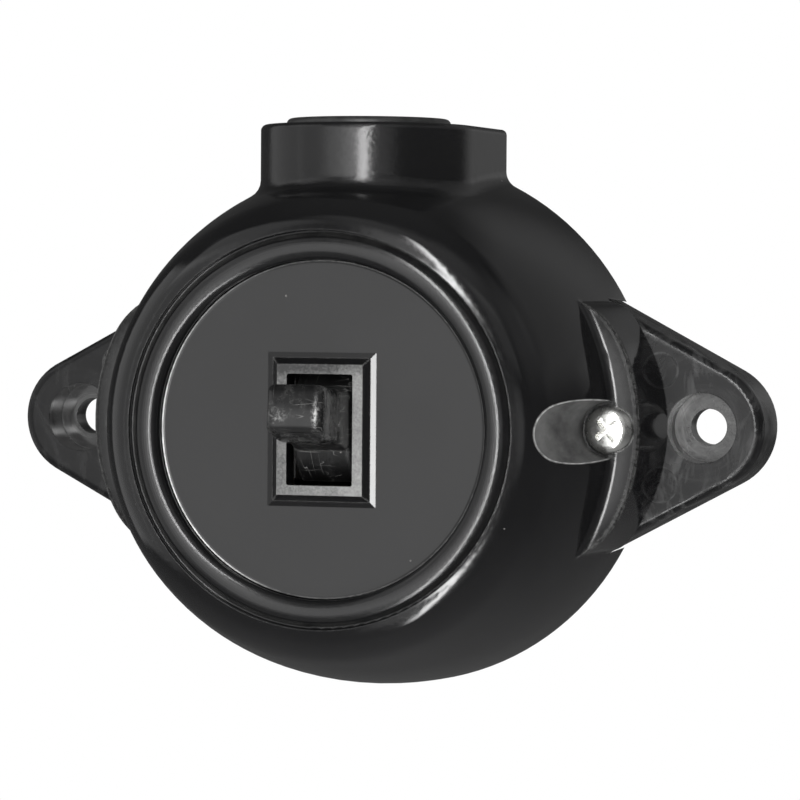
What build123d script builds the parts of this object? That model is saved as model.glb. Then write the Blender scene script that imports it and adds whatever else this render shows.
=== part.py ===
from build123d import *
import os
from math import sin, cos, radians

os.makedirs("parts", exist_ok=True)

# ---------------------------------------------------------------- driving sizes, mm
# frame: wall plane at y = 0, front towards -y, cable entry towards +z
ridge_y = -47.7          # level of the dome's front shoulder
ridge_r = 32.25          # inner edge of the shoulder, outside the groove
lip_y = -46.0            # lip of the cover, behind the bead
lip_r = 27.5             # opening in the cover
lip_rear = -43.8         # rear of the lip, seat of the gasket
skirt_y = -1.0           # rear edge of the cover
skirt_r = 45.0
wall_t = 3.0

ear_t = 10.4             # base thickness at the ears
ear_x = 55.0             # wall-screw hole, from the axis
ear_r = 10.75            # ear tip radius at the wall
ear_slope = radians(28.3)
hole_r = 3.05
cbore_r = 5.9
cbore_depth = 6.1
floor_t = 5.0
base_r = 41.2

ledge_y = -23.6          # lug face under the cover-screw head
lug_foot_y = -10.5
lug_round = 0.9          # rounded front edge of the lug
screw_x = 42.6           # cover screw

boss_y = -20.2           # cable-entry axis
boss_r = 18.0
boss_back_half = 18.7
boss_top = 49.9
collar_r = 13.7
collar_top = 51.0
entry_r = 11.25
sleeve_end = 35.0

disc_y = -45.0           # front plate face
bezel_h = 1.4
bezel_foot = 0.25
slot_w = 11.1
slot_h = 18.0

pivot_y = -31.0          # lever axle
tilt = 7.5               # lever angle above level at rest
drum_r = 15.0
drum_half = 4.85
pin_r = 2.0

rock_y = -16.4           # rocker axle
rock_tilt = 5.5

# ---------------------------------------------------------------- planes
front0 = Plane.XZ        # normal towards -y, sketch x = x, sketch y = z


def front(depth):
    return Plane.XZ.offset(depth)


ct, st = cos(radians(tilt)), sin(radians(tilt))
lever_side = Plane(origin=(0, pivot_y, 0), x_dir=(0, -ct, st), z_dir=(-1, 0, 0))


def lever_at(s):
    return Plane(origin=(0, pivot_y - ct * s, st * s), x_dir=(1, 0, 0), z_dir=(0, -ct, st))


cr, sr = cos(radians(rock_tilt)), sin(radians(rock_tilt))
rock_side = Plane(origin=(0, rock_y, 0), x_dir=(0, sr, -cr), z_dir=(1, 0, 0))
rock_face = Plane(origin=(0, rock_y, 0), x_dir=(1, 0, 0), z_dir=(0, cr, sr))

flank = [(38.42, -41.12), (40.12, -35.7), (42.46, -25.2), (43.98, -14.6), (45.0, skirt_y)]
inner_flank = [(42.0, skirt_y), (41.0, -14.6), (39.45, -25.2), (37.1, -35.7), (35.7, -39.6)]


# half outlines of the lug, from the middle to where it runs into the dome: at its foot and at the ledge
lug_foot = [(49.3, 0), (48.15, 8.4), (46.46, 13.0), (44.4, 16.8), (43.0, 18.8), (41.4, 20.2), (39.2, 20.9), (36.8, 21.0)]
lug_top = [(47.5, 0), (46.5, 8.4), (44.95, 13.0), (42.9, 16.7), (41.25, 18.5), (39.4, 19.9), (37.3, 21.0), (34.8, 22.0)]
lug_fade = [1, 1, 1, 0.95, 0.75, 0.4, 0.15, 0]    # how far the rounded edge is carried towards the points


def lug_outline(half, side):
    """Closed outline of a lug through a half outline and its mirror image."""
    pts = [(side * x, -z) for x, z in reversed(half[1:])] + [(side * x, z) for x, z in half]
    Spline(*pts)
    Polyline(pts[-1], (side * 26.0, half[-1][1]), (side * 26.0, -half[-1][1]), pts[0])


def lug_inset(half, inset):
    """Half outline of a lug drawn in by the rounding of its front edge."""
    return [(x - inset * k, z * (1 - 0.011 * inset * k)) for (x, z), k in zip(half, lug_fade)]


def ear_points(extra):
    r = ear_r + extra
    tx, tz = ear_x + r * sin(ear_slope), r * cos(ear_slope)
    root = 33.5
    rz = tz + (tx - root) * sin(ear_slope) / cos(ear_slope)
    return tx, tz, root, rz, r


# ---------------------------------------------------------------- base
with BuildPart() as base:
    tx, tz, root, rz, r_tip = ear_points(0.0)
    with BuildSketch(front(0)):
        for side in (1, -1):
            with BuildLine():
                Polyline((side * tx, tz), (side * root, rz), (side * root, -rz), (side * tx, -tz))
                ThreePointArc((side * tx, -tz), (side * (ear_x + r_tip), 0), (side * tx, tz))
            make_face()
    extrude(amount=ear_t, taper=2.3)
    ear_edges = base.faces().filter_by(Axis.Y).group_by(Axis.Y)[0].edges().filter_by(
        lambda e: abs((e @ 0.5).X) > root + 1.5)
    fillet(ear_edges, radius=1.5)
    with BuildSketch(front(0)):
        Circle(base_r)
    extrude(amount=floor_t)
    with BuildSketch(front(floor_t)):
        Circle(base_r)
        Circle(base_r - 2.6, mode=Mode.SUBTRACT)
    extrude(amount=ear_t - floor_t)
    # gap in the rim under the cable entry
    with BuildSketch(front(floor_t)):
        with Locations((0, 40)):
            Rectangle(30.0, 14.0)
    extrude(amount=8, mode=Mode.SUBTRACT)
    # wall-screw holes, counterbored from the front
    with Locations(front(ear_t)):
        with Locations((ear_x, 0), (-ear_x, 0)):
            CounterBoreHole(radius=hole_r, counter_bore_radius=cbore_r, counter_bore_depth=cbore_depth, depth=ear_t)
    # seats of the threaded bushes
    with BuildSketch(front(ear_t)):
        with Locations((screw_x, 0), (-screw_x, 0)):
            Circle(3.0)
    extrude(amount=-8.6, mode=Mode.SUBTRACT)
    with BuildSketch(front(floor_t)):
        with Locations((15, 0), (-15, 0)):
            Circle(2.7)
    extrude(amount=-3.8, mode=Mode.SUBTRACT)
    # ejector-pin marks on the ears
    with BuildSketch(front(ear_t)):
        with GridLocations(2 * 47.95, 2 * 9.5, 2, 2):
            Circle(2.9)
    extrude(amount=-0.15, mode=Mode.SUBTRACT)
    # stiffening ribs on the floor
    with BuildSketch(front(floor_t)):
        with PolarLocations(32.5, 4, start_angle=45):
            Rectangle(13.0, 2.0)
    extrude(amount=3.0)
base.part.label = "base"
export_step(base.part, "parts/base.step")

# ---------------------------------------------------------------- cover
# room inside the cover, less the screw pillars and the entry sleeve
with BuildPart() as cavity:
    with BuildSketch(Plane.XY):
        with BuildLine():
            Polyline((0, skirt_y + 1), (42.0, skirt_y + 1), (42.0, skirt_y))
            Spline(*inner_flank, tangents=((-0.05, -1), (-0.36, -1)))
            ThreePointArc((35.7, -39.6), (34.4, -41.6), (32.4, -42.2))
            Polyline((32.4, -42.2), (30.3, -42.2), (30.3, lip_rear), (0, lip_rear), (0, skirt_y + 1))
        make_face()
    revolve(axis=Axis.Y)
    with BuildSketch(front(-lug_foot_y)):
        with Locations((screw_x, 0), (-screw_x, 0)):
            Circle(7.6)
    extrude(amount=40, mode=Mode.SUBTRACT)
    with BuildSketch(Plane.XY.offset(sleeve_end)):
        with Locations((0, boss_y)):
            Circle(entry_r + 2.6)
    extrude(amount=20, mode=Mode.SUBTRACT)

# concave run-out of the lug face into the dome, kept inside the lug outline
with BuildPart() as cove:
    with BuildSketch(Plane.XY):
        with BuildLine():
            Polyline((40.5, ledge_y - 1.5), (42.4, ledge_y - 1.5))
            ThreePointArc((42.4, ledge_y - 1.5), (42.95, ledge_y - 0.45), (44.2, ledge_y))
            Polyline((44.2, ledge_y), (44.2, ledge_y + 0.5), (40.5, ledge_y + 0.5), (40.5, ledge_y - 1.5))
        make_face()
    revolve(axis=Axis.Y)
    with BuildSketch(front(-ledge_y + 3)):
        for side in (1, -1):
            with BuildLine():
                lug_outline(lug_inset(lug_top, lug_round), side)
            make_face()
    extrude(amount=-6, mode=Mode.INTERSECT)

# lugs for the cover screws, drafted, with a rounded front edge built up in steps
lug_steps = [(lug_foot, lug_foot_y, 0.0)] + [
    (lug_top, ledge_y + lug_round * (1 - sin(radians(t))), lug_round * (1 - cos(radians(t)))) for t in (0, 30, 60, 90)]
lugs = []
for side in (1, -1):
    with BuildPart() as lug:
        for half, y0, inset in lug_steps:
            with BuildSketch(front(-y0)):
                with BuildLine():
                    lug_outline(lug_inset(half, inset), side)
                make_face()
        loft(ruled=True)
    lugs.append(lug.part)

with BuildPart() as cover:
    with BuildSketch(Plane.XY):
        with BuildLine():
            Polyline((0, skirt_y), (0, -48.3), (31.0, -48.3), (31.0, ridge_y), (ridge_r, ridge_y))
            Spline((ridge_r, ridge_y), (33.3, -47.24), (36.43, -44.65), flank[0], tangents=((1, 0.29), (0.34, 1)))
            Spline(*flank, tangents=((0.34, 1), (0.05, 1)))
            Line((45.0, skirt_y), (0, skirt_y))
        make_face()
    revolve(axis=Axis.Y)
    # cable-entry boss
    with BuildSketch(Plane.XY.offset(20)):
        with BuildLine():
            ThreePointArc((-boss_r, boss_y), (0, boss_y - boss_r), (boss_r, boss_y))
            Polyline((boss_r, boss_y), (boss_back_half, skirt_y), (-boss_back_half, skirt_y), (-boss_r, boss_y))
        make_face()
    extrude(amount=boss_top - 20)
    root_edges = cover.edges().filter_by(
        lambda e: 30 < (e @ 0.5).Z < 45 and abs((e @ 0.5).X) < 20 and (e @ 0.5).Y < skirt_y - 0.5
        and (e @ 0.0).Z < 47 and (e @ 1.0).Z < 47)
    fillet(root_edges, radius=3.0)
    top_edges = cover.faces().sort_by(Axis.Z)[-1].edges().filter_by(lambda e: (e @ 0.5).Y < skirt_y - 0.2)
    fillet(top_edges, radius=1.0)
    # lugs for the cover screws
    for lug in lugs:
        add(lug)
    add(cove.part)
    # lip bead: bevel down to the opening, rounded crest, long slope to a groove under the shoulder's edge
    with BuildSketch(Plane.XY):
        with BuildLine():
            Polyline((26.0, lip_y + 1.0), (26.0, ridge_y - 1), (ridge_r - 0.05, ridge_y - 1), (ridge_r - 0.05, ridge_y + 0.1),
                     (ridge_r - 0.1, -46.6))
            ThreePointArc((ridge_r - 0.1, -46.6), (32.02, -46.36), (31.75, -46.4))
            Line((31.75, -46.4), (30.88, -47.33))
            Spline((30.88, -47.33), (30.3, -47.76), (29.45, -48.0), (28.6, -47.75), (28.1, -47.37), (27.72, -46.75),
                   (27.5, -45.35), tangents=((-1, -1.05), (-0.06, 1)))
            Polyline((27.5, -45.35), (27.5, lip_y + 1.0), (26.0, lip_y + 1.0))
        make_face()
    revolve(axis=Axis.Y, mode=Mode.SUBTRACT)
    # inside
    add(cavity.part, mode=Mode.SUBTRACT)
    with BuildSketch(front(-lip_rear - 1)):
        Circle(lip_r)
    extrude(amount=6, mode=Mode.SUBTRACT)
    # clearance scoops and holes for the cover screws
    lean = radians(2.4)
    with BuildSketch(Plane(origin=(screw_x, ledge_y, 0), x_dir=(cos(lean), -sin(lean), 0),
                           z_dir=(-sin(lean), -cos(lean), 0))):
        Circle(4.6)
    extrude(amount=24, taper=-3.8, mode=Mode.SUBTRACT)
    with BuildSketch(front(-ledge_y)):
        with Locations((-screw_x, 0)):
            Circle(4.25)
    extrude(amount=24, mode=Mode.SUBTRACT)
    with BuildSketch(front(-ledge_y)):
        with Locations((screw_x, 0), (-screw_x, 0)):
            Circle(2.25)
    extrude(amount=-20, mode=Mode.SUBTRACT)
    # cable entry: moulded collar and bore
    with BuildSketch(Plane.XY.offset(boss_top)):
        with Locations((0, boss_y)):
            Circle(collar_r)
    extrude(amount=collar_top - boss_top)
    fillet(cover.faces().sort_by(Axis.Z)[-1].edges(), radius=0.9)
    with BuildSketch(Plane.XY.offset(collar_top)):
        with Locations((0, boss_y)):
            Circle(entry_r)
    extrude(amount=sleeve_end - collar_top, mode=Mode.SUBTRACT)
    # cored-out back of the boss
    with BuildSketch(front(-skirt_y)):
        with Locations((0, 42.3)):
            Rectangle(28.0, 8.6)
    extrude(amount=5.2, mode=Mode.SUBTRACT)
    # notches in the skirt where the ears pass
    with BuildSketch(front(-skirt_y - 0.5)):
        tx, tz, root, rz, r_tip = ear_points(0.4)
        for side in (1, -1):
            with BuildLine():
                Polyline((side * tx, tz), (side * root, rz), (side * root, -rz), (side * tx, -tz))
                ThreePointArc((side * tx, -tz), (side * (ear_x + r_tip), 0), (side * tx, tz))
            make_face()
    extrude(amount=-lug_foot_y + skirt_y + 0.5, mode=Mode.SUBTRACT)
cover.part.label = "cover"
export_step(cover.part, "parts/cover.step")

# ---------------------------------------------------------------- front plate
with BuildPart() as front_plate:
    with BuildSketch(Plane.XY):
        with BuildLine():
            Polyline((0, -42.0), (22.0, -42.0), (22.0, -40.2), (29.8, -40.2), (29.8, -42.6),
                     (27.35, -42.6), (27.35, disc_y - 0.13), (26.85, disc_y), (0, disc_y), (0, -42.0))
        make_face()
    revolve(axis=Axis.Y)
    # frame round the slot: a low sloping foot, then a steeper bevel up to the flat top
    with BuildSketch(front(-disc_y)):
        Rectangle(18.3, 25.0)
    extrude(amount=bezel_foot, taper=74.8)
    with BuildSketch(front(-disc_y + bezel_foot)):
        Rectangle(16.45, 23.15)
    extrude(amount=bezel_h - bezel_foot, taper=42.4)
    with BuildSketch(front(30)):
        RectangleRounded(slot_w, slot_h, 0.4)
    extrude(amount=20, mode=Mode.SUBTRACT)
    # hollow behind the slot, round the lever's drum
    with BuildSketch(Plane.YZ):
        with Locations((pivot_y, 0)):
            Circle(drum_r + 0.35)
    extrude(amount=slot_w / 2, both=True, mode=Mode.SUBTRACT)
    # blind holes for the fixing screws
    with BuildSketch(front(42.0)):
        with Locations((12.5, 0), (-12.5, 0)):
            Circle(1.5)
    extrude(amount=2.1, mode=Mode.SUBTRACT)
front_plate.part.label = "front_plate"
export_step(front_plate.part, "parts/front_plate.step")

# ---------------------------------------------------------------- front gasket
with BuildPart() as front_gasket:
    with BuildSketch(front(42.62)):
        Circle(29.75)
        Circle(27.5, mode=Mode.SUBTRACT)
    extrude(amount=1.16)
front_gasket.part.label = "front_gasket"
export_step(front_gasket.part, "parts/front_gasket.step")

# ---------------------------------------------------------------- cover screw, in the lug at +x
with BuildPart() as cover_screw:
    with BuildSketch(Plane(origin=(screw_x, 0, 0), x_dir=(1, 0, 0), z_dir=(0, 0, 1))):
        with BuildLine():
            Polyline((0, -3.6), (1.5, -3.6), (2.0, -4.2), (2.0, ledge_y), (4.0, ledge_y), (4.0, ledge_y - 0.75))
            ThreePointArc((4.0, ledge_y - 0.75), (3.5, ledge_y - 1.85), (2.6, ledge_y - 2.4))
            ThreePointArc((2.6, ledge_y - 2.4), (1.3, ledge_y - 2.62), (0, ledge_y - 2.7))
            Line((0, ledge_y - 2.7), (0, -3.6))
        make_face()
    revolve(axis=Axis((screw_x, 0, 0), (0, 1, 0)))
    # cross recess
    with BuildSketch(front(-ledge_y + 2.8)):
        with Locations((screw_x, 0)):
            Rectangle(4.5, 1.15, rotation=38)
            Rectangle(4.5, 1.15, rotation=128)
    extrude(amount=-2.0, taper=9, mode=Mode.SUBTRACT)
cover_screw.part.label = "cover_screw"
export_step(cover_screw.part, "parts/cover_screw.step")

# ---------------------------------------------------------------- threaded bushes in the base
with BuildPart() as cover_inserts:
    with BuildSketch(front(1.9)):
        with Locations((screw_x, 0), (-screw_x, 0)):
            Circle(3.0)
            Circle(2.02, mode=Mode.SUBTRACT)
    extrude(amount=8.4)
cover_inserts.part.label = "cover_inserts"
export_step(cover_inserts.part, "parts/cover_inserts.step")

with BuildPart() as block_inserts:
    with BuildSketch(front(1.3)):
        with Locations((15, 0), (-15, 0)):
            Circle(2.7)
            Circle(1.77, mode=Mode.SUBTRACT)
    extrude(amount=3.6)
block_inserts.part.label = "block_inserts"
export_step(block_inserts.part, "parts/block_inserts.step")

# ---------------------------------------------------------------- switch block
with BuildPart() as switch_block:
    with BuildSketch(front(floor_t)):
        RectangleRounded(23.0, 49.0, 3.0)
        with Locations((15, 0), (-15, 0)):
            Circle(5.5)
        Rectangle(30.0, 11.0)
    extrude(amount=6.0)
    # step under the load terminal
    with BuildSketch(front(floor_t + 6.0)):
        with Locations((0, -15.0)):
            Rectangle(10.4, 18.0)
    extrude(amount=1.6)
    # cheeks that carry the axle
    with BuildSketch(front(floor_t + 6.0)):
        with Locations((7.1, 0), (-7.1, 0)):
            RectangleRounded(3.4, 17.0, 0.8)
    extrude(amount=42.0 - floor_t - 6.0)
    # flanges under the front plate
    with BuildSketch(front(39.0)):
        with Locations((11.4, 0), (-11.4, 0)):
            RectangleRounded(12.0, 10.0, 1.5)
        Rectangle(2 * 5.4, 20, mode=Mode.SUBTRACT)
    extrude(amount=3.0)
    with BuildSketch(Plane.YZ):
        with Locations((pivot_y, 0)):
            Circle(pin_r + 0.01)
    extrude(amount=12, both=True, mode=Mode.SUBTRACT)
    with BuildSketch(front(39.0)):
        with Locations((12.5, 0), (-12.5, 0)):
            Circle(1.65)
    extrude(amount=3.0, mode=Mode.SUBTRACT)
    with BuildSketch(front(floor_t)):
        with Locations((15, 0), (-15, 0)):
            Circle(1.9)
    extrude(amount=6.0, mode=Mode.SUBTRACT)
    # clearance under the terminal screws
    with BuildSketch(front(7.0)):
        with Locations((0, 18.0), (0, -18.5)):
            Circle(2.0)
    extrude(amount=8.0, mode=Mode.SUBTRACT)
switch_block.part.label = "switch_block"
export_step(switch_block.part, "parts/switch_block.step")

# ---------------------------------------------------------------- lever
with BuildPart() as lever:
    with BuildSketch(lever_side):
        with BuildLine():
            ThreePointArc((8.4, -9.75), (drum_r, 0), (8.4, 9.75))
            Polyline((8.4, 9.75), (-1.0, 5.2), (-1.0, -5.2), (8.4, -9.75))
        make_face()
        Circle(5.4)
        with Locations((-4.8, 0)):
            Rectangle(9.4, 8.4)
    extrude(amount=drum_half, both=True)
    tail_edges = lever.edges().filter_by(lambda e: abs((e @ 0.5).X) > drum_half - 0.01)
    fillet(tail_edges, radius=0.6)
    # knob
    # sections from the drum to the tip: distance, width, height, shift up, corner radius
    for at, wide, high, shift, corner in ((12.6, 9.7, 10.3, 0, 1.3), (15.2, 9.45, 9.9, 0, 1.2), (17.2, 8.75, 9.3, -0.05, 1.1),
                                          (20.4, 8.3, 8.9, -0.25, 1.1), (25.0, 8.9, 8.65, -0.3, 1.1), (29.2, 9.2, 7.5, 0.25, 1.2)):
        with BuildSketch(lever_at(at)):
            with Locations((0, shift)):
                RectangleRounded(wide, high, corner)
    loft()
    tip_edges = lever.faces().sort_by(Axis.Y)[0].edges()
    fillet(tip_edges, radius=1.15)
    # axle hole and spring bore
    with BuildSketch(Plane.YZ):
        with Locations((pivot_y, 0)):
            Circle(pin_r + 0.06)
    extrude(amount=10, both=True, mode=Mode.SUBTRACT)
    with BuildSketch(lever_at(-9.6)):
        Circle(2.6)
    extrude(amount=6.2, mode=Mode.SUBTRACT)
lever.part.label = "lever"
export_step(lever.part, "parts/lever.step")

# ---------------------------------------------------------------- lever pin
with BuildPart() as lever_pin:
    with BuildSketch(Plane.YZ):
        with Locations((pivot_y, 0)):
            Circle(pin_r)
    extrude(amount=8.8, both=True)
    chamfer(lever_pin.faces().filter_by(Axis.X).edges(), length=0.4)
lever_pin.part.label = "lever_pin"
export_step(lever_pin.part, "parts/lever_pin.step")

# ---------------------------------------------------------------- plunger and its spring
with BuildPart() as plunger:
    with BuildSketch(lever_at(-13.05)):
        Circle(2.52)
    extrude(amount=3.95)
    fillet(plunger.faces().sort_by(Axis.Y)[-1].edges(), radius=2.0)
    with BuildSketch(lever_at(-9.1)):
        Circle(0.9)
    extrude(amount=3.1)
plunger.part.label = "plunger"
export_step(plunger.part, "parts/plunger.step")

with BuildPart() as plunger_spring:
    with BuildLine():
        wire_path = Helix(pitch=1.0, height=4.6, radius=1.75, center=lever_at(-8.55).origin, direction=(0, -ct, st))
    with BuildSketch(Plane(origin=wire_path @ 0, z_dir=wire_path % 0)):
        Circle(0.32)
    sweep(path=wire_path, is_frenet=True)
plunger_spring.part.label = "plunger_spring"
export_step(plunger_spring.part, "parts/plunger_spring.step")

# ---------------------------------------------------------------- contact rocker
with BuildPart() as rocker_contact:
    with BuildSketch(rock_side):
        with BuildLine():
            Polyline((11.0, 0), (11.0, -1.0), (6.0, -1.4), (-6.0, -1.4), (-11.0, -1.0), (-11.0, 0), (-0.72, 0))
            ThreePointArc((-0.72, 0), (0, -0.72), (0.72, 0))
            Line((0.72, 0), (11.0, 0))
        make_face()
    extrude(amount=3.5, both=True)
    fillet(rocker_contact.edges().filter_by(lambda e: abs(abs((e @ 0.5).Z) - 11.0) < 0.4 and abs((e @ 0.5).X) > 3.4), radius=0.9)
    # seat of the rivet
    with BuildSketch(rock_face):
        with Locations((0, 9.0)):
            Circle(0.8)
    extrude(amount=-2.0, mode=Mode.SUBTRACT)
rocker_contact.part.label = "rocker_contact"
export_step(rocker_contact.part, "parts/rocker_contact.step")

with BuildPart() as moving_contact:
    with BuildSketch(rock_face):
        with Locations((0, 9.0)):
            Circle(1.7)
    extrude(amount=0.85)
    fillet(moving_contact.faces().sort_by(Axis.Y)[-1].edges(), radius=0.55)
    with BuildSketch(rock_face):
        with Locations((0, 9.0)):
            Circle(0.78)
    extrude(amount=-1.1)
moving_contact.part.label = "moving_contact"
export_step(moving_contact.part, "parts/moving_contact.step")

# ---------------------------------------------------------------- terminals
with BuildPart() as common_terminal:
    with BuildSketch(Plane.YZ):
        with BuildLine():
            Polyline((-11.0, -0.6), (rock_y, -0.6))
            ThreePointArc((rock_y, -0.6), (rock_y - 0.6, 0), (rock_y, 0.6))
            Polyline((rock_y, 0.6), (-12.2, 0.6), (-12.2, 22.5), (-11.0, 22.5), (-11.0, -0.6))
        make_face()
    extrude(amount=4.2, both=True)
    fillet(common_terminal.edges().filter_by(lambda e: abs((e @ 0.5).Z - 22.5) < 0.01 and abs((e @ 0.5).X) > 4.1), radius=1.2)
    with BuildSketch(front(10.0)):
        with Locations((0, 18.0)):
            Circle(1.77)
    extrude(amount=4.0, mode=Mode.SUBTRACT)
common_terminal.part.label = "common_terminal"
export_step(common_terminal.part, "parts/common_terminal.step")

with BuildPart() as load_terminal:
    with BuildSketch(front(12.6)):
        with Locations((0, -14.75)):
            RectangleRounded(8.4, 16.5, 1.2)
        with Locations((0, -18.5)):
            Circle(1.77, mode=Mode.SUBTRACT)
        with Locations((0, -8.9)):
            Circle(0.8, mode=Mode.SUBTRACT)
    extrude(amount=1.2)
load_terminal.part.label = "load_terminal"
export_step(load_terminal.part, "parts/load_terminal.step")

with BuildPart() as fixed_contact:
    with BuildSketch(front(12.7)):
        with Locations((0, -8.9)):
            Circle(0.78)
    extrude(amount=1.1)
    with BuildSketch(front(13.8)):
        with Locations((0, -8.9)):
            Circle(1.8)
    extrude(amount=0.7)
    fillet(fixed_contact.faces().sort_by(Axis.Y)[0].edges(), radius=0.2)
fixed_contact.part.label = "fixed_contact"
export_step(fixed_contact.part, "parts/fixed_contact.step")

term_at = ((18.0, 12.2), (-18.5, 13.8))

with BuildPart() as terminal_clamps:
    for z0, f0 in term_at:
        with BuildSketch(front(f0)):
            with Locations((0, z0)):
                RectangleRounded(7.4, 7.4, 0.8)
                Circle(1.95, mode=Mode.SUBTRACT)
        extrude(amount=1.1)
terminal_clamps.part.label = "terminal_clamps"
export_step(terminal_clamps.part, "parts/terminal_clamps.step")

with BuildPart() as terminal_screws:
    for z0, f0 in term_at:
        with BuildSketch(front(7.4)):
            with Locations((0, z0)):
                Circle(1.75)
        extrude(amount=f0 + 1.1 - 7.4)
        with BuildSketch(front(f0 + 1.1)):
            with Locations((0, z0)):
                Circle(3.2)
        extrude(amount=2.4)
        with BuildSketch(front(f0 + 3.5)):
            with Locations((0, z0)):
                Rectangle(8.0, 0.9)
        extrude(amount=-1.3, mode=Mode.SUBTRACT)
terminal_screws.part.label = "terminal_screws"
export_step(terminal_screws.part, "parts/terminal_screws.step")

# ---------------------------------------------------------------- fixing screws inside
with BuildPart() as block_screws:
    with BuildSketch(front(1.6)):
        with Locations((15, 0), (-15, 0)):
            Circle(1.75)
    extrude(amount=9.4)
    with BuildSketch(front(11.0)):
        with Locations((15, 0), (-15, 0)):
            Circle(3.3)
    extrude(amount=2.3)
    fillet(block_screws.faces().sort_by(Axis.Y)[:2].edges(), radius=0.8)
    with BuildSketch(front(13.3)):
        with Locations((15, 0), (-15, 0)):
            Rectangle(8.0, 0.9)
    extrude(amount=-1.2, mode=Mode.SUBTRACT)
block_screws.part.label = "block_screws"
export_step(block_screws.part, "parts/block_screws.step")

with BuildPart() as front_plate_screws:
    with BuildSketch(front(39.0)):
        with Locations((12.5, 0), (-12.5, 0)):
            Circle(1.49)
    extrude(amount=4.9)
    with BuildSketch(front(39.0)):
        with Locations((12.5, 0), (-12.5, 0)):
            Circle(2.75)
    extrude(amount=-2.0)
    with BuildSketch(front(37.0)):
        with Locations((12.5, 0), (-12.5, 0)):
            Rectangle(7.0, 0.8)
    extrude(amount=1.1, mode=Mode.SUBTRACT)
front_plate_screws.part.label = "front_plate_screws"
export_step(front_plate_screws.part, "parts/front_plate_screws.step")
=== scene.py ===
"""Looks for a round surface-mounted toggle switch: black moulded cover, base and front plate."""

import math

import bmesh
import bpy
from mathutils import Matrix, Vector

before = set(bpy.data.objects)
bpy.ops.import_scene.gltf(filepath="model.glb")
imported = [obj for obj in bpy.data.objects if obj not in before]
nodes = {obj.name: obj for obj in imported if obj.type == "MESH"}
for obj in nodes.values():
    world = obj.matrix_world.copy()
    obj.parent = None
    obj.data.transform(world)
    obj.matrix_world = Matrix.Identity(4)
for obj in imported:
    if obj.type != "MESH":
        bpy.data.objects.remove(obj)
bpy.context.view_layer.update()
scene = bpy.context.scene


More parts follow.
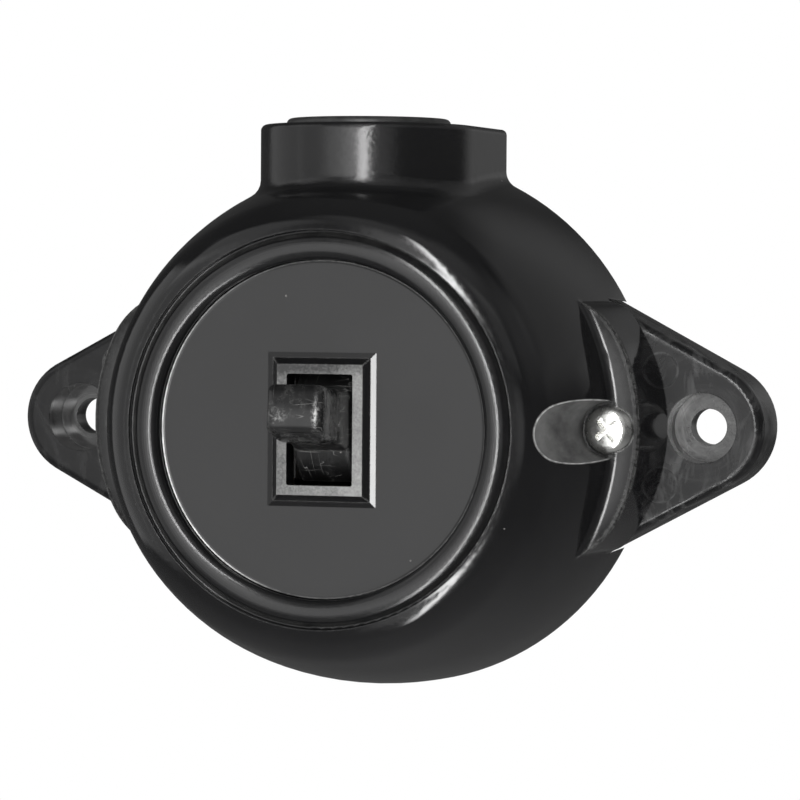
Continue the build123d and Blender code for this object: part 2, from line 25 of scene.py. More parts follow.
# ------------------------------------------------------------------ node helpers
class Mat:
    """A material with a Principled surface and short calls for its nodes."""

    def __init__(self, name):
        self.m = bpy.data.materials.new(name)
        self.m.use_nodes = True
        self.t = self.m.node_tree
        self.b = next(n for n in self.t.nodes if n.type == "BSDF_PRINCIPLED")
        self.coord = self.t.nodes.new("ShaderNodeTexCoord")
        self.geo = self.t.nodes.new("ShaderNodeNewGeometry")

    def set(self, **kw):
        for k, v in kw.items():
            self.b.inputs[k.replace("_", " ")].default_value = v
        return self

    def link(self, a, b):
        self.t.links.new(a, b)

    def node(self, kind, **kw):
        n = self.t.nodes.new(kind)
        for k, v in kw.items():
            setattr(n, k, v)
        return n

    def mapped(self, scale=(1, 1, 1), rot=(0, 0, 0), loc=(0, 0, 0)):
        n = self.node("ShaderNodeMapping")
        n.inputs["Scale"].default_value = scale
        n.inputs["Rotation"].default_value = rot
        n.inputs["Location"].default_value = loc
        self.link(self.coord.outputs["Object"], n.inputs["Vector"])
        return n.outputs["Vector"]

    def noise(self, scale, detail=3.0, rough=0.55, vec=None, distortion=0.0):
        n = self.node("ShaderNodeTexNoise")
        n.inputs["Scale"].default_value = scale
        n.inputs["Detail"].default_value = detail
        n.inputs["Roughness"].default_value = rough
        n.inputs["Distortion"].default_value = distortion
        self.link(vec or self.coord.outputs["Object"], n.inputs["Vector"])
        return n.outputs["Fac"]

    def voronoi(self, scale, vec=None, feature="F1", randomness=1.0):
        n = self.node("ShaderNodeTexVoronoi", feature=feature)
        n.inputs["Scale"].default_value = scale
        n.inputs["Randomness"].default_value = randomness
        self.link(vec or self.coord.outputs["Object"], n.inputs["Vector"])
        return n

    def ramp(self, fac, stops):
        n = self.node("ShaderNodeValToRGB")
        el = n.color_ramp.elements
        while len(el) > 1:
            el.remove(el[-1])
        for i, (p, c) in enumerate(stops):
            e = el[0] if i == 0 else el.new(p)
            e.position = p
            e.color = (c, c, c, 1) if not isinstance(c, (tuple, list)) else (*c[:3], 1)
        self.link(fac, n.inputs["Fac"])
        return n.outputs["Color"]

    def remap(self, fac, lo, hi, out_lo, out_hi):
        n = self.node("ShaderNodeMapRange")
        n.inputs["From Min"].default_value = lo
        n.inputs["From Max"].default_value = hi
        n.inputs["To Min"].default_value = out_lo
        n.inputs["To Max"].default_value = out_hi
        self.link(fac, n.inputs["Value"])
        return n.outputs["Result"]

    def math(self, op, a, b=None, clamp=False):
        n = self.node("ShaderNodeMath", operation=op, use_clamp=clamp)
        for i, v in enumerate((a, b)):
            if v is None:
                continue
            if isinstance(v, (int, float)):
                n.inputs[i].default_value = v
            else:
                self.link(v, n.inputs[i])
        return n.outputs["Value"]

    def mix(self, fac, a, b):
        n = self.node("ShaderNodeMix", data_type="RGBA")
        for sock, v in ((n.inputs[0], fac), (n.inputs[6], a), (n.inputs[7], b)):
            if isinstance(v, (tuple, list)):
                sock.default_value = (*v[:3], 1)
            elif isinstance(v, (int, float)):
                sock.default_value = v
            else:
                self.link(v, sock)
        return n.outputs[2]

    def bump(self, height, strength, distance, normal=None):
        n = self.node("ShaderNodeBump")
        n.inputs["Strength"].default_value = strength
        n.inputs["Distance"].default_value = distance
        self.link(height, n.inputs["Height"])
        if normal is not None:
            self.link(normal, n.inputs["Normal"])
        return n.outputs["Normal"]

    def to(self, out, name):
        self.link(out, self.b.inputs[name])

    def bevel(self, radius, samples=4):
        n = self.node("ShaderNodeBevel", samples=samples)
        n.inputs["Radius"].default_value = radius
        return n.outputs["Normal"]

    def edges(self, radius, lo=0.02, hi=0.16):
        """1 along sharp edges, 0 on open faces."""
        n = self.node("ShaderNodeVectorMath", operation="DOT_PRODUCT")
        self.link(self.bevel(radius), n.inputs[0])
        self.link(self.geo.outputs["Normal"], n.inputs[1])
        return self.remap(n.outputs["Value"], 1.0 - lo, 1.0 - hi, 0, 1)

    def specks(self, scale, size, share, vec=None):
        """Round specks in a share of the cells."""
        v = self.voronoi(scale, vec)
        spot = self.remap(v.outputs["Distance"], size * 0.5, size, 1, 0)
        c = self.node("ShaderNodeSeparateColor")
        self.link(v.outputs["Color"], c.inputs[0])
        pick = self.math("GREATER_THAN", c.outputs[0], 1.0 - share)
        return self.math("MULTIPLY", spot, pick)

    def hairlines(self, scale, stretch, rot, width, keep=0.5, seed=(0, 0, 0)):
        """Thin broken scratches along one direction."""
        n = self.noise(scale, 1.0, 0.4, self.mapped(stretch, rot, seed))
        line = self.remap(self.math("ABSOLUTE", self.math("SUBTRACT", n, 0.5)), 0, width, 1, 0)
        part = self.remap(self.noise(scale * 2.2, 2, 0.5), keep, keep + 0.08, 0, 1)
        return self.math("MULTIPLY", line, part)

    def along(self, axis):
        n = self.node("ShaderNodeSeparateXYZ")
        self.link(self.coord.outputs["Object"], n.inputs[0])
        return n.outputs[axis]

    def facing(self, axis):
        n = self.node("ShaderNodeSeparateXYZ")
        self.link(self.geo.outputs["Normal"], n.inputs[0])
        return n.outputs[axis]


    def near_axis(self, x, z, inner, outer):
        """1 round the axes through (x, z) and (-x, z) along Y, fading to 0."""
        dx = self.math("SUBTRACT", self.math("ABSOLUTE", self.along("X")), x)
        dz = self.math("SUBTRACT", self.along("Z"), z)
        d = self.math("SQRT", self.math("ADD", self.math("MULTIPLY", dx, dx), self.math("MULTIPLY", dz, dz)))
        return self.remap(d, inner, outer, 1, 0)

    def step(self, axis, lo, hi):
        """0 below lo, 1 above hi, along one axis of the object."""
        return self.remap(self.along(axis), lo, hi, 0, 1)


def moulded(name, colour, rough, peel=0.2, dust=0.05, smudge=0.03, wear=0.25, round_r=0.00022, part="cover"):
    """Black phenolic: faint orange peel, cloudy gloss, rubbed edges and a few dust specks."""
    m = Mat(name)
    cloud = m.noise(60, 4, 0.6)
    # rubbed edges, broken up
    rub = m.math("MULTIPLY", m.edges(0.0004), m.remap(m.noise(900, 4, 0.65), 0.42, 0.62, 0, wear), clamp=True)
    motes = m.math("MULTIPLY", m.specks(420, 0.08, dust), 0.4)
    body = m.mix(m.remap(cloud, 0.3, 0.7, 0, 1), [c * 0.8 for c in colour], [c * 1.2 for c in colour])
    col = m.mix(rub, body, (0.07, 0.07, 0.07))
    r = m.remap(cloud, 0.25, 0.75, rough - smudge, rough + smudge)
    wave = form = None
    if part == "cover":
        # the scoop beside the screw is a leaning cone, left dull by the mould
        up = m.math("SUBTRACT", -0.0236, m.along("Y"))
        dx = m.math("SUBTRACT", m.along("X"), m.remap(up, 0, 0.1, 0.0426, 0.0384))
        dz = m.along("Z")
        d = m.math("SQRT", m.math("ADD", m.math("MULTIPLY", dx, dx), m.math("MULTIPLY", dz, dz)))
        off = m.math("SUBTRACT", d, m.remap(up, 0, 0.1, 0.0046, 0.01124))
        inside = m.remap(off, 0.00004, 0.00012, 1, 0)
        raw = m.math("MULTIPLY", inside, m.remap(up, 0.0001, 0.0003, 0, 1))
        haze = m.noise(260, 4, 0.6, m.mapped((1, 0.25, 0.5)))
        col = m.mix(raw, col, m.mix(m.remap(haze, 0.35, 0.7, 0, 1), (0.034, 0.034, 0.034), (0.098, 0.098, 0.0965)))
        r = m.math("ADD", r, m.math("MULTIPLY", raw, 0.22))
        # painted highlight: a pale line round the scoop's rim, standing in for the edge catching the light
        painted_rim_highlight = m.math("MULTIPLY", m.remap(off, 0.00005, 0.00010, 0, 1), m.remap(off, 0.00014, 0.00034, 1, 0))
        painted_rim_highlight = m.math("MULTIPLY", painted_rim_highlight, m.remap(up, 0.0004, 0.0012, 0, 1))
        painted_rim_highlight = m.math("MULTIPLY", painted_rim_highlight, m.remap(m.noise(500, 3, 0.6), 0.35, 0.6, 0.3, 1.0))
        col = m.mix(painted_rim_highlight, col, (0.27, 0.27, 0.265))
        # scuffed rim of the lugs
        rim = m.math("MULTIPLY", m.step("Y", -0.0222, -0.0229), m.step("Y", -0.0240, -0.0237))
        side = m.remap(m.math("ABSOLUTE", m.along("X")), 0.0360, 0.0375, 0, 1)
        rim = m.math("MULTIPLY", m.math("MULTIPLY", rim, side), m.edges(0.0012, 0.004, 0.05))
        rim = m.math("MULTIPLY", rim, m.remap(m.noise(1500, 4, 0.7), 0.40, 0.62, 0.08, 0.8))
        col = m.mix(rim, col, (0.075, 0.075, 0.073))
        r = m.math("ADD", r, m.math("MULTIPLY", rim, 0.25))
        # the lug faces are duller than the dome and paler, with painted light towards the top and painted shade
        # towards the bottom
        face = m.math("MULTIPLY", m.step("Y", -0.0254, -0.0250), m.step("Y", -0.0230, -0.0234))
        face = m.math("MULTIPLY", face, m.math("MULTIPLY", side, m.remap(m.facing("Y"), -0.75, -0.95, 0, 1)))
        dull = m.math("MULTIPLY", m.remap(m.noise(800, 4, 0.65), 0.35, 0.65, 0.3, 1.0), m.remap(m.along("Z"), -0.016, 0.012, 0.15, 1.0))
        col = m.mix(m.math("MULTIPLY", face, dull), col, (0.013, 0.013, 0.013))
        r = m.math("ADD", r, m.math("MULTIPLY", face, 0.10))
        # uneven skin of the cable-entry boss
        boss = m.step("Z", 0.0350, 0.0400)
        wave = m.math("MULTIPLY", m.noise(620, 3, 0.6, m.mapped((1.3, 1.3, 2.6))), boss)
        r = m.math("ADD", r, m.math("MULTIPLY", boss, 0.15))
        collar = m.step("Z", 0.0499, 0.0501)
        r = m.math("ADD", r, m.math("MULTIPLY", collar, 0.22))
        col = m.mix(m.math("MULTIPLY", collar, m.remap(m.noise(500, 4, 0.65), 0.35, 0.65, 0.2, 1.0)), col, (0.020, 0.020, 0.020))
        # fine dust in the groove behind the bead, paler on the left as painted light
        x, z = m.along("X"), m.along("Z")
        out = m.math("SQRT", m.math("ADD", m.math("MULTIPLY", x, x), m.math("MULTIPLY", z, z)))
        # easy curves: the crest of the bead and the first of the shoulder
        deep = m.math("ADD", m.along("Y"), 0.0480)
        crest = m.math("MULTIPLY", m.math("SUBTRACT", 1.0, m.math("EXPONENT", m.math("MULTIPLY", deep, -1100.0))), 0.00050)
        past = m.remap(out, 0.0314, 0.0321, 0, 1)
        before = m.math("SUBTRACT", 1.0, past)
        crest = m.math("ADD", m.math("MULTIPLY", crest, before), m.math("MULTIPLY", past, 0.00041))
        # the bead is dulled by handling, the shoulder's edge less so
        bead = m.math("MULTIPLY", m.step("Y", -0.0462, -0.0470), m.remap(past, 0, 1, 1.0, 0.45))
        r = m.math("ADD", r, m.math("MULTIPLY", bead, m.remap(m.noise(1500, 2, 0.5), 0.35, 0.65, 0.12, 0.19)))
        ease = m.node("ShaderNodeMapRange", interpolation_type="SMOOTHSTEP")
        m.link(out, ease.inputs["Value"])
        for k, v in (("From Min", 0.0323), ("From Max", 0.0349), ("To Min", 0.0), ("To Max", 0.00027)):
            ease.inputs[k].default_value = v
        form = m.math("ADD", crest, ease.outputs["Result"])
        # the lug faces darken towards their outer edge: painted shade, their specular lowered there in place of a
        # rounded edge turning from the light
        az = m.math("ABSOLUTE", z)
        cube = m.math("MULTIPLY", m.math("MULTIPLY", az, az), az)
        reach = m.math("SUBTRACT", m.math("SUBTRACT", 0.0475, m.math("MULTIPLY", cube, 1193.0)), m.math("ABSOLUTE", x))
        painted_edge_shade = m.math("MULTIPLY", face, m.remap(reach, 0.0003, 0.0030, 0.75, 0.0))
        gloss = m.math("MULTIPLY", m.remap(raw, 0, 1, 0.5, 0.0), m.math("SUBTRACT", 1.0, painted_edge_shade))
        m.to(gloss, "Specular IOR Level")
        # dust in the groove plus painted light: full strength on the left, a quarter as strong on the right
        dust_and_light_in_groove = m.math("MULTIPLY", m.remap(out, 0.0310, 0.0314, 0, 1), m.remap(out, 0.0320, 0.0317, 0, 1))
        dust_and_light_in_groove = m.math("MULTIPLY", dust_and_light_in_groove, m.step("Y", -0.0476, -0.0471))
        dust_and_light_in_groove = m.math("MULTIPLY", dust_and_light_in_groove, m.remap(x, -0.02, 0.03, 1.0, 0.25))
        col = m.mix(m.math("MULTIPLY", dust_and_light_in_groove, m.remap(m.noise(300, 3, 0.55), 0.35, 0.65, 0.3, 1.0)), col, (0.022, 0.022, 0.0216))
    else:
        # flow marks left by the moulding, faint on the plain back, and cloudy counterbores
        fore = m.step("Y", -0.0015, -0.0035)
        mark = m.math("MULTIPLY", m.remap(fore, 0, 1, 0.15, 1.0), m.remap(m.along("X"), -0.03, 0.03, 0.3, 1.0))
        swirl = m.noise(95, 5, 0.62, m.mapped((1.0, 1.0, 0.45), (0, 0.5, 0)), 1.6)
        r = m.math("ADD", r, m.math("MULTIPLY", mark, m.remap(swirl, 0.40, 0.66, 0, 0.30)))
        streak = m.remap(m.noise(150, 5, 0.6, m.mapped((1.0, 1.0, 0.5), (0, -0.4, 0), (0.4, 0, 0.2)), 2.2), 0.52, 0.72, 0, 1)
        col = m.mix(m.math("MULTIPLY", m.math("MULTIPLY", streak, mark), 0.65), col, (0.046, 0.046, 0.046))
        fx = m.math("SUBTRACT", m.math("ABSOLUTE", m.along("X")), 0.0550)
        fd = m.math("SQRT", m.math("ADD", m.math("MULTIPLY", fx, fx), m.math("MULTIPLY", m.along("Z"), m.along("Z"))))
        arc = m.node("ShaderNodeCombineXYZ")
        m.link(m.math("MULTIPLY", fd, 900.0), arc.inputs[0])
        m.link(m.math("MULTIPLY", m.along("X"), 110.0), arc.inputs[1])
        m.link(m.math("MULTIPLY", m.along("Z"), 110.0), arc.inputs[2])
        arcs = m.remap(m.noise(1.0, 3, 0.55, arc.outputs[0], 0.6), 0.50, 0.70, 0, 1)
        col = m.mix(m.math("MULTIPLY", m.math("MULTIPLY", arcs, mark), 0.14), col, (0.046, 0.046, 0.046))
        bore = m.math("MULTIPLY", m.near_axis(0.055, 0.0, 0.0060, 0.0063), m.step("Y", -0.0104, -0.0099))
        haze = m.remap(m.noise(260, 5, 0.68, m.mapped((0.7, 1, 1.3)), 2.0), 0.38, 0.68, 0, 1)
        haze = m.math("MAXIMUM", m.math("MULTIPLY", haze, 0.6), arcs)
        bore = m.math("MULTIPLY", bore, fore)
        col = m.mix(m.math("MULTIPLY", m.math("MULTIPLY", bore, haze), mark), col, (0.095, 0.095, 0.093))
        r = m.math("SUBTRACT", r, m.math("MULTIPLY", bore, 0.05))
        m.to(m.remap(bore, 0, 1, 0.24, 0.6), "Specular IOR Level")
        # light rims round the ejector marks
        dx = m.math("SUBTRACT", m.math("ABSOLUTE", m.along("X")), 0.04795)
        dz = m.math("SUBTRACT", m.math("ABSOLUTE", m.along("Z")), 0.0095)
        d = m.math("SQRT", m.math("ADD", m.math("MULTIPLY", dx, dx), m.math("MULTIPLY", dz, dz)))
        ring = m.remap(m.math("ABSOLUTE", m.math("SUBTRACT", d, 0.0029)), 0.00005, 0.00028, 1, 0)
        ring = m.math("MULTIPLY", ring, m.remap(m.noise(420, 3, 0.6), 0.40, 0.60, 0.1, 0.7))
        col = m.mix(m.math("MULTIPLY", ring, fore), col, (0.06, 0.06, 0.06))
    col = m.mix(motes, col, (0.20, 0.195, 0.185))
    m.to(col, "Base Color")
    r = m.math("ADD", r, m.math("MULTIPLY", rub, 0.5))
    r = m.math("ADD", r, m.math("MULTIPLY", motes, 0.5))
    m.to(r, "Roughness")
    n = m.bump(m.noise(300, 2, 0.5), peel, 0.000018, m.bevel(round_r))
    n = m.bump(m.noise(2600, 2, 0.5), peel, 0.000006, n)
    if form is not None:
        n = m.bump(form, 1.0, 1.0, n)
    if wave is not None:
        n = m.bump(wave, 0.55, 0.00009, n)
    m.to(n, "Normal")
    m.set(IOR=1.55)
    return m


def satin_plate(name, colour, rough):
    """The front plate: even face, with the frame round the slot rubbed pale and matt on its top."""
    m = Mat(name)
    cloud = m.noise(40, 4, 0.6)
    grain = m.noise(5200, 3, 0.7)
    patch = m.noise(330, 4, 0.6)
    top = m.remap(m.along("Y"), -0.04632, -0.04637, 0, 1)
    rub = m.math("MULTIPLY", m.edges(0.0005), m.remap(m.noise(1300, 4, 0.65), 0.4, 0.6, 0.1, 0.6), clamp=True)
    motes = m.math("MULTIPLY", m.specks(330, 0.07, 0.05), 0.4)
    body = m.mix(m.remap(cloud, 0.3, 0.7, 0, 1), [c * 0.85 for c in colour], [c * 1.15 for c in colour])
    # the top bar is least rubbed, the right-hand bar most
    pale = m.math("ADD", m.remap(m.along("X"), -0.007, 0.007, 0.32, 0.66), m.remap(m.along("Z"), 0.0080, 0.0100, 0.0, -0.42))
    pale = m.math("ADD", pale, m.remap(patch, 0.3, 0.7, -0.10, 0.10))
    pale = m.math("ADD", pale, m.remap(m.noise(2300, 3, 0.7), 0.3, 0.7, -0.26, 0.26), clamp=True)
    worn = m.mix(pale, (0.008, 0.008, 0.008), (0.19, 0.19, 0.187))
    col = m.mix(top, body, worn)
    col = m.mix(rub, col, (0.14, 0.14, 0.138))
    # painted highlight: a pale line on the disc's edge at the left, most of all low down
    x, z = m.along("X"), m.along("Z")
    out = m.math("SQRT", m.math("ADD", m.math("MULTIPLY", x, x), m.math("MULTIPLY", z, z)))
    painted_edge_highlight = m.math("MULTIPLY", m.remap(out, 0.02708, 0.02716, 0, 1), m.remap(x, -0.008, -0.018, 0, 1))
    painted_edge_highlight = m.math("MULTIPLY", painted_edge_highlight, m.remap(z, 0.020, -0.008, 0.12, 1.0))
    painted_edge_highlight = m.math("MULTIPLY", painted_edge_highlight, m.remap(m.noise(900, 3, 0.6), 0.35, 0.6, 0.55, 1.0))
    col = m.mix(painted_edge_highlight, col, (0.50, 0.50, 0.495))
    col = m.mix(motes, col, (0.20, 0.195, 0.185))
    m.to(col, "Base Color")
    r = m.math("ADD", m.remap(cloud, 0.25, 0.75, rough - 0.02, rough + 0.02), m.math("MULTIPLY", top, 0.26))
    r = m.math("ADD", r, m.math("MULTIPLY", rub, 0.2))
    m.to(r, "Roughness")
    n = m.bump(grain, 0.06, 0.00001, m.bevel(0.00016))
    m.to(n, "Normal")
    m.set(IOR=1.55)
    return m


def handled(name, colour, rough):
    """The lever: dulled by fingers, scuffed on the knob, scratched and dusty on the drum."""
    m = Mat(name)
    cloud = m.noise(240, 4, 0.65)
    fine = m.noise(2400, 3, 0.7)
    knob = m.remap(m.along("Y"), -0.0480, -0.0500, 0, 1)
    a = m.hairlines(60, (0.6, 1, 9), (0.2, 0.5, 0.3), 0.010, 0.50)
    b = m.hairlines(75, (8, 1, 0.7), (0.1, -0.6, 0.2), 0.009, 0.52, (0.3, 0, 0.1))
    c = m.hairlines(95, (3, 1, 8), (0.4, 1.1, 0.0), 0.010, 0.50, (0.1, 0.2, 0.5))
    lines = m.math("MAXIMUM", m.math("MAXIMUM", a, b), c)
    scuff = m.math("MULTIPLY", m.remap(m.noise(420, 5, 0.7), 0.50, 0.66, 0, 1), m.remap(cloud, 0.42, 0.62, 0, 1))
    rub = m.math("MULTIPLY", m.edges(0.0007, 0.01, 0.12), m.remap(fine, 0.35, 0.6, 0.1, 0.75), clamp=True)
    motes = m.math("MULTIPLY", m.specks(900, 0.16, 0.10), m.remap(knob, 0, 1, 0.8, 0.3))
    body = m.mix(m.remap(cloud, 0.3, 0.7, 0, 1), [c0 * 0.75 for c0 in colour], [c0 * 1.3 for c0 in colour])
    # bare patches where fingers rub the ends of the tip
    worn = None
    for x0, z0, wide, tall, most in ((0.0036, 0.0029, 0.0008, 0.0021, 0.9), (-0.0027, 0.0026, 0.0020, 0.0016, 0.4)):
        dx = m.math("DIVIDE", m.math("SUBTRACT", m.along("X"), x0), wide)
        dz = m.math("DIVIDE", m.math("SUBTRACT", m.along("Z"), z0), tall)
        d = m.math("SQRT", m.math("ADD", m.math("MULTIPLY", dx, dx), m.math("MULTIPLY", dz, dz)))
        spot = m.remap(d, 0.2, 1.0, most, 0)
        worn = spot if worn is None else m.math("MAXIMUM", worn, spot)
    worn = m.math("MULTIPLY", m.math("MULTIPLY", worn, m.step("Y", -0.0583, -0.0591)), m.remap(m.noise(1500, 4, 0.7), 0.47, 0.60, 0.0, 1.0))
    # painted light on the flare where the neck meets the drum, standing in for its lit rim
    painted_neck_light = m.math("MULTIPLY", m.remap(m.math("ABSOLUTE", m.along("X")), 0.0041, 0.0044, 0, 1),
                  m.math("MULTIPLY", m.step("Y", -0.0505, -0.0480), m.step("Y", -0.0455, -0.0462)))
    col = m.mix(m.math("MULTIPLY", scuff, m.remap(knob, 0, 1, 0.06, 0.5)), body, (0.06, 0.06, 0.0585))
    col = m.mix(worn, col, (0.26, 0.26, 0.255))
    col = m.mix(m.math("MULTIPLY", painted_neck_light, m.remap(fine, 0.35, 0.65, 0.4, 1.0)), col, (0.050, 0.050, 0.049))
    col = m.mix(m.math("MULTIPLY", lines, m.remap(knob, 0, 1, 1.0, 0.45)), col, (0.15, 0.15, 0.146))
    col = m.mix(rub, col, (0.09, 0.09, 0.088))
    col = m.mix(motes, col, (0.18, 0.175, 0.165))
    m.to(col, "Base Color")
    r = m.math("ADD", m.remap(cloud, 0.3, 0.7, rough - 0.05, rough + 0.08), m.math("MULTIPLY", scuff, 0.12))
    r = m.math("ADD", r, m.remap(knob, 0, 1, 0.14, 0.0))
    m.to(r, "Roughness")
    # the tip is a little crowned
    rise = m.remap(m.along("Z"), -0.0006, 0.0084, -0.0030, 0.0060)
    crown = m.math("MULTIPLY", m.math("MULTIPLY", rise, rise), m.math("MULTIPLY", knob, -50.0))
    n = m.bump(crown, 1.0, 1.0, m.bevel(0.0010, 6))
    n = m.bump(m.noise(700, 3, 0.6), 0.25, 0.00004, n)
    n = m.bump(lines, 0.3, -0.00002, n)
    m.to(n, "Normal")
    m.set(IOR=1.55)
    return m


def metal(name, colour, rough, grain=(1, 1, 1), grain_scale=700, tarnish=0.2):
    """Plated or drawn metal: fine grain in the gloss, and dull patches."""
    m = Mat(name)
    cloud = m.noise(180, 4, 0.6)
    g = m.noise(grain_scale, 2, 0.5, m.mapped(grain))
    col = m.mix(m.remap(cloud, 0.35, 0.75, 0, tarnish), colour, [c * 0.45 for c in colour])
    m.to(col, "Base Color")
    r = m.math("ADD", m.remap(g, 0.3, 0.7, rough * 0.7, rough * 1.3), m.remap(cloud, 0.4, 0.8, 0, 0.12))
    m.to(r, "Roughness")
    m.to(m.bump(g, 0.15, 0.00003), "Normal")
    m.set(Metallic=1.0)
    return m


def dull(name, colour, rough, scale=300, bump=0.3):
    """Matt moulding or rubber."""
    m = Mat(name)
    cloud = m.noise(90, 4, 0.6)
    fine = m.noise(scale * 4, 3, 0.6)
    m.to(m.mix(m.remap(cloud, 0.3, 0.7, 0, 1), [c * 0.8 for c in colour], [c * 1.2 for c in colour]), "Base Color")
    m.to(m.remap(fine, 0.3, 0.7, rough - 0.08, rough + 0.08), "Roughness")
    m.to(m.bump(fine, bump, 0.00008), "Normal")
    return m


black = moulded("black_phenolic", (0.0030, 0.0030, 0.0032), 0.065, smudge=0.02)
eared = moulded("base_phenolic", (0.0040, 0.0040, 0.0042), 0.15, peel=0.25, dust=0.08, wear=0.04, part="base")
plate = satin_plate("plate_phenolic", (0.0040, 0.0040, 0.0042), 0.13)
knob = handled("lever_phenolic", (0.0036, 0.0036, 0.0037), 0.22)
steel = metal("bright_zinc", (0.74, 0.74, 0.72), 0.22)
brass = metal("satin_brass", (0.70, 0.50, 0.20), 0.28)
silver = metal("contact_silver", (0.86, 0.85, 0.82), 0.2)
drawn = metal("spring_wire", (0.42, 0.42, 0.43), 0.3, grain=(8, 1, 1))
brown = dull("block_phenolic", (0.006, 0.005, 0.0045), 0.6)
nylon = dull("plunger_nylon", (0.62, 0.58, 0.50), 0.5)
rubber = dull("seal_rubber", (0.018, 0.018, 0.018), 0.7)

finish_of = {
    "base": eared, "cover": black, "front_plate": plate, "lever": knob, "cover_screw": steel,
    "cover_inserts": brass, "front_gasket": rubber, "switch_block": brown, "lever_pin": steel,
    "plunger": nylon, "plunger_spring": drawn, "rocker_contact": brass, "moving_contact": silver,
    "common_terminal": brass, "load_terminal": brass, "fixed_contact": silver, "terminal_clamps": steel,
    "terminal_screws": brass, "block_screws": steel, "block_inserts": brass, "front_plate_screws": steel,
}
for name, ob in nodes.items():
    ob.data.materials.clear()
    ob.data.materials.append(finish_of[name].m)


# ------------------------------------------------------------------ floor, light, camera
def stage_mesh(name, verts, faces, mat):
    me = bpy.data.meshes.new(name)
    me.from_pydata(verts, [], faces)
    ob = bpy.data.objects.new(name, me)
    scene.collection.objects.link(ob)
    me.materials.append(mat)
    return ob


pale = Mat("pale_floor")
pale.to(pale.mix(pale.noise(3, 2, 0.5), (0.86, 0.86, 0.86), (0.90, 0.90, 0.90)), "Base Color")
pale.set(Roughness=0.9)
floor = stage_mesh("floor", [(-2, -2, -0.45), (2, -2, -0.45), (2, 2, -0.45), (-2, 2, -0.45)], [(0, 1, 2, 3)], pale.m)
floor.visible_glossy = False
floor.visible_shadow = False

# a white room, but dim where the gloss mirrors it
world = bpy.data.worlds.new("studio")
scene.world = world
world.use_nodes = True
wt = world.node_tree
bg = next(n for n in wt.nodes if n.type == "BACKGROUND")
out = next(n for n in wt.nodes if n.type == "OUTPUT_WORLD")
bg.inputs["Color"].default_value = (1, 1, 1, 1)
bg.inputs["Strength"].default_value = 1.0
room = wt.nodes.new("ShaderNodeBackground")
room.inputs["Strength"].default_value = 1.0
aim = wt.nodes.new("ShaderNodeTexCoord")
split = wt.nodes.new("ShaderNodeSeparateXYZ")
wt.links.new(aim.outputs["Generated"], split.inputs[0])
level = wt.nodes.new("ShaderNodeMapRange")
level.inputs["From Min"].default_value = -1.0
wt.links.new(split.outputs["Z"], level.inputs["Value"])
shade = wt.nodes.new("ShaderNodeValToRGB")
stops = ((0.0, 0.28), (0.06, 0.24), (0.14, 0.19), (0.25, 0.12), (0.44, 0.07), (0.53, 0.05), (0.65, 0.05), (0.88, 0.06), (1.0, 0.12))
ramp = shade.color_ramp.elements
while len(ramp) > 1:
    ramp.remove(ramp[-1])
for i, (at, v) in enumerate(stops):
    e = ramp[0] if i == 0 else ramp.new(at)
    e.position = at
    e.color = (v, v, v, 1)
wt.links.new(level.outputs[0], shade.inputs["Fac"])
wt.links.new(shade.outputs["Color"], room.inputs["Color"])
path = wt.nodes.new("ShaderNodeLightPath")
pick = wt.nodes.new("ShaderNodeMixShader")
wt.links.new(path.outputs["Is Glossy Ray"], pick.inputs["Fac"])
wt.links.new(bg.outputs[0], pick.inputs[1])
wt.links.new(room.outputs[0], pick.inputs[2])
wt.links.new(pick.outputs[0], out.inputs["Surface"])


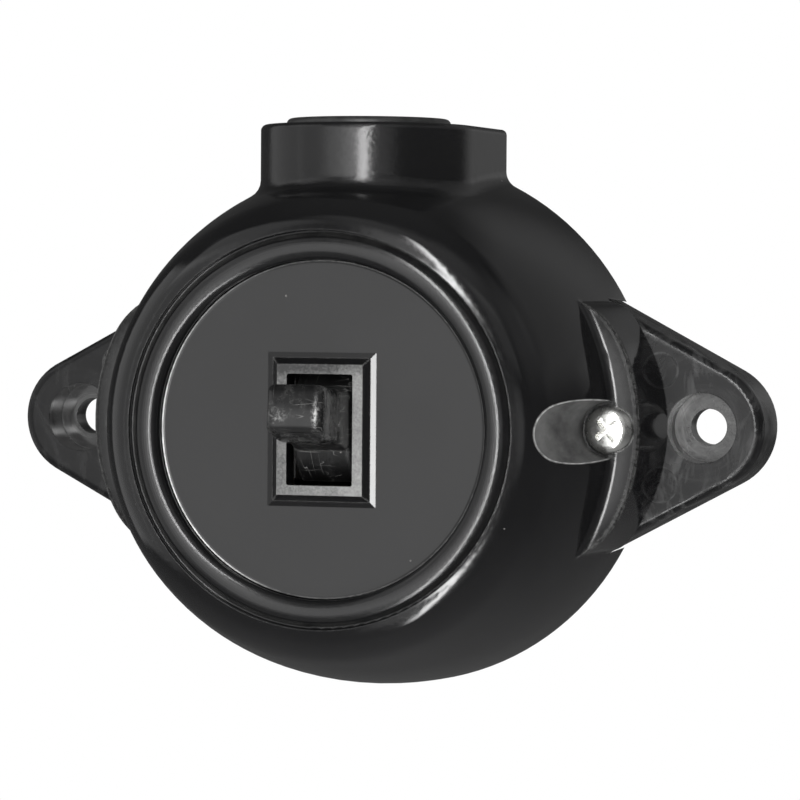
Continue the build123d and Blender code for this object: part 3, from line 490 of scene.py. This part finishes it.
def card(name, azimuth, elevation, distance, level, soft=0.25, tilt=0.0):
    """A soft box on the sphere round the switch, turned towards it: ranges of azimuth and elevation in degrees,
    the brightness of its middle, and the share of it that fades out at the edges."""
    a = math.radians((azimuth[0] + azimuth[1]) / 2)
    e = math.radians((elevation[0] + elevation[1]) / 2)
    w = 2 * distance * math.tan(math.radians(azimuth[1] - azimuth[0]) / 2)
    h = 2 * distance * math.tan(math.radians(elevation[1] - elevation[0]) / 2)
    d = Vector((math.sin(a) * math.cos(e), -math.cos(a) * math.cos(e), math.sin(e)))
    li = bpy.data.lights.new(name, "AREA")
    li.shape = "RECTANGLE"
    li.size, li.size_y = w, h
    li.energy = level * math.pi * w * h
    li.use_nodes = True
    t = li.node_tree
    em = next(n for n in t.nodes if n.type == "EMISSION")
    geo = t.nodes.new("ShaderNodeNewGeometry")
    sep = t.nodes.new("ShaderNodeSeparateXYZ")
    t.links.new(geo.outputs["Parametric"], sep.inputs[0])
    fade = None
    for axis in ("X", "Y"):
        off = t.nodes.new("ShaderNodeMath")
        off.operation = "SUBTRACT"
        t.links.new(sep.outputs[axis], off.inputs[0])
        off.inputs[1].default_value = 0.5
        mag = t.nodes.new("ShaderNodeMath")
        mag.operation = "ABSOLUTE"
        t.links.new(off.outputs[0], mag.inputs[0])
        edge = t.nodes.new("ShaderNodeMapRange")
        edge.interpolation_type = "SMOOTHSTEP"
        edge.inputs["From Min"].default_value = 0.5
        edge.inputs["From Max"].default_value = 0.5 - soft
        t.links.new(mag.outputs[0], edge.inputs["Value"])
        if fade is None:
            fade = edge.outputs["Result"]
        else:
            both = t.nodes.new("ShaderNodeMath")
            both.operation = "MULTIPLY"
            t.links.new(fade, both.inputs[0])
            t.links.new(edge.outputs["Result"], both.inputs[1])
            fade = both.outputs[0]
    t.links.new(fade, em.inputs["Strength"])
    ob = bpy.data.objects.new(name, li)
    ob.location = Vector((0, -0.03, 0)) + d * distance
    q = (-d).to_track_quat("-Z", "Y")
    ob.rotation_euler = (q.to_matrix() @ Matrix.Rotation(math.radians(tilt), 3, "Z")).to_euler()
    ob.visible_camera = False
    scene.collection.objects.link(ob)
    return ob


card("left_box", (-113, -33), (-30, 38), 1.2, 0.54, 0.08)
card("left_seam", (-62.5, -60.5), (-30, 32), 1.15, 1.0, 0.3)
card("left_top", (-84, -28), (27, 54), 1.25, 0.55, 0.25)
card("front_box", (-40, 20), (-34, 37), 1.1, 1.28, 0.30)
card("key_strip", (8, 16), (-61, 58), 1.0, 20.0, 0.26)
card("front_tall", (-14, 20), (-50, 52), 1.12, 0.8, 0.22)
card("top_front", (-18, 54), (30, 80), 1.35, 0.32, 0.3)
card("right_box", (24, 62), (10, 46), 1.3, 0.32, 0.3)
card("right_low", (21, 50), (-16, 14), 1.3, 0.5, 0.4)
card("far_right", (56, 108), (4, 64), 1.3, 0.20, 0.4)
card("back_right", (134, 200), (-8, 17), 1.3, 0.2, 0.25)
card("right_wall", (92, 176), (4, 52), 1.35, 0.16, 0.28)

scene.view_settings.view_transform = "Standard"

yaw, pitch, roll = (math.radians(v) for v in (16.513, 1.816, 0.421))
right = Vector((math.cos(yaw), math.sin(yaw), 0))
ahead = Vector((-math.sin(yaw) * math.cos(pitch), math.cos(yaw) * math.cos(pitch), -math.sin(pitch)))
upward = right.cross(ahead)
r2 = math.cos(roll) * right + math.sin(roll) * upward
u2 = -math.sin(roll) * right + math.cos(roll) * upward
cam = bpy.data.cameras.new("camera")
cam.sensor_width = 36.0
cam.lens = 173.68
cam.clip_start, cam.clip_end = 0.01, 50
cam_ob = bpy.data.objects.new("camera", cam)
cam_ob.matrix_world = Matrix((
    (r2.x, u2.x, -ahead.x, 0.18872),
    (r2.y, u2.y, -ahead.y, -0.63733),
    (r2.z, u2.z, -ahead.z, 0.02459),
    (0, 0, 0, 1)))
scene.collection.objects.link(cam_ob)
scene.camera = cam_ob
